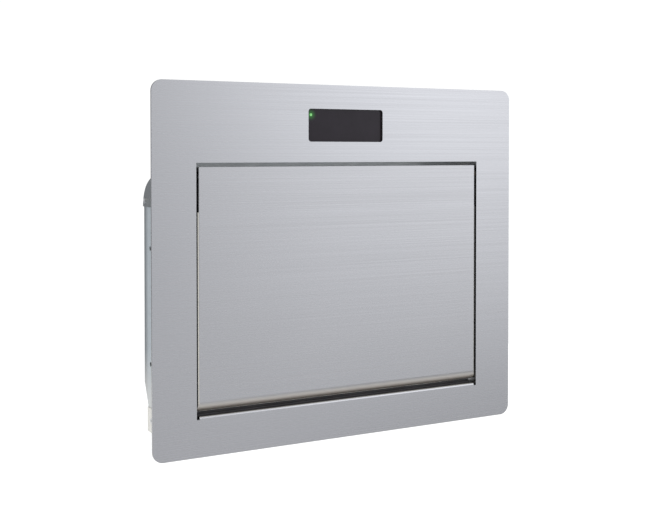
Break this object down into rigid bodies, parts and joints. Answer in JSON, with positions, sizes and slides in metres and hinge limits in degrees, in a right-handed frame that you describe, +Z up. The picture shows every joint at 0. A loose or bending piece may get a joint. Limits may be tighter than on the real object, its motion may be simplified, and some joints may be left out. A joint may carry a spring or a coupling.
{
  "type": "library book drop box",
  "caption": "Through-wall book return: a rounded steel fascia with a damped, lockable inward-swinging flap, a book tunnel behind it, and an RFID reader window with a status light above.",
  "frame": {"origin": "middle of the fascia, on the wall face: the plane of the foam seal that lies against the wall", "axes": "+X to the right seen from the street side, +Y into the wall, +Z up"},
  "size_m": [0.58, 0.1149, 0.5],
  "materials": {
    "brushed_stainless": "horizontally brushed stainless sheet, satin",
    "flap_stainless": "horizontally brushed stainless sheet, satin",
    "liner_stainless": "mill-finished stainless sheet",
    "casing_steel": "light blue-grey coated sheet",
    "hood_steel": "darker blue-grey coated sheet",
    "tray_steel": "pale coated sheet",
    "zinc_steel": "zinc plated",
    "turned_steel": "turned, lightly oiled",
    "spring_steel": "drawn wire",
    "solenoid_steel": "zinc frame with a dark taped coil",
    "rivet_aluminium": "plain",
    "block_aluminium": "machined",
    "bronze": "sintered bronze",
    "rubber": "matte",
    "foam_rubber": "closed-cell foam",
    "floor_plastic": "low-friction sheet",
    "white_nylon": "moulded",
    "black_nylon": "moulded",
    "black_plastic": "fine texture",
    "sensor_plastic": "moulded",
    "grey_plastic": "fine texture",
    "green_plastic": "moulded",
    "gear_plastic": "moulded",
    "circuit_board": "solder mask over glass-fibre laminate",
    "smoked_window": "smoked acrylic, gloss",
    "led_green": "lit green lens",
    "lead_jacket": "soft sheath",
    "red_lead_jacket": "soft sheath"
  },
  "bodies": {
    "base": {"fascia_plate": "brushed_stainless", "fascia_studs": "zinc_steel", "stud_nuts": "zinc_steel", "wall_gasket": "foam_rubber", "side_panel_left": "casing_steel", "side_panel_right": "casing_steel", "top_hood": "hood_steel", "panel_screws": "zinc_steel", "tunnel_liner_left": "liner_stainless", "tunnel_liner_right": "liner_stainless", "cavity_cover_left": "casing_steel", "cavity_cover_right": "casing_steel", "cover_screws": "zinc_steel", "base_tray": "tray_steel", "chute_floor": "floor_plastic", "floor_screws": "zinc_steel", "rfid_antenna": "circuit_board", "antenna_standoffs": "white_nylon", "sill_seal": "rubber", "hinge_bushes": "bronze", "rotary_damper": "black_plastic", "damper_screws": "zinc_steel", "buffer_posts": "turned_steel", "closed_buffer": "rubber", "open_buffer": "rubber", "flap_sensor": "sensor_plastic", "sensor_bracket": "zinc_steel", "lock_bracket": "zinc_steel", "lock_solenoid": "solenoid_steel", "lock_screws": "zinc_steel", "window_gasket": "foam_rubber", "reader_window": "smoked_window", "reader_case": "black_plastic", "reader_board": "circuit_board", "status_led": "led_green", "controller_case": "grey_plastic", "controller_lid": "grey_plastic", "controller_board": "circuit_board", "terminal_block": "green_plastic", "lid_screws": "zinc_steel", "cable_gland": "black_nylon", "gland_nut": "black_nylon", "lead_grommets": "rubber", "reader_lead": "lead_jacket", "antenna_lead": "lead_jacket", "lock_lead": "red_lead_jacket", "return_springs": "spring_steel"},
    "flap": {"flap_skin": "flap_stainless", "flap_back_panel": "zinc_steel", "flap_ribs": "zinc_steel", "panel_rivets": "rivet_aluminium", "hinge_blocks": "block_aluminium", "block_screws": "zinc_steel", "hinge_shaft": "turned_steel", "shaft_rings": "spring_steel", "sector_gear": "gear_plastic", "stop_arm": "turned_steel", "strike_plate": "turned_steel"},
    "damper_rotor": {"damper_pinion": "white_nylon"},
    "bolt": {"lock_bolt": "turned_steel"}
  },
  "joints": [
    {"name": "flap_swing", "type": "hinge", "parent": "base", "child": "flap", "pos_m": [0, 0.007, 0.123], "axis": [1, 0, 0], "range_deg": [0, 60], "stiffness_Nm_per_rad": 0.6, "springref_deg": -28.65, "deforming": ["return_springs"]},
    {"name": "damper_spin", "type": "hinge", "parent": "base", "child": "damper_rotor", "pos_m": [-0.247, 0.036, 0.10948], "axis": [1, 0, 0], "range_deg": [-216, 1]},
    {"name": "lock_slide", "type": "slide", "parent": "base", "child": "bolt", "axis": [-1, 0, 0], "range_m": [0, 0.008], "stiffness_N_per_m": 150, "springref_m": -0.01}
  ],
  "couplings": [
    {"joint": "damper_spin", "follows": "flap_swing", "ratio": -3.5714}
  ]
}
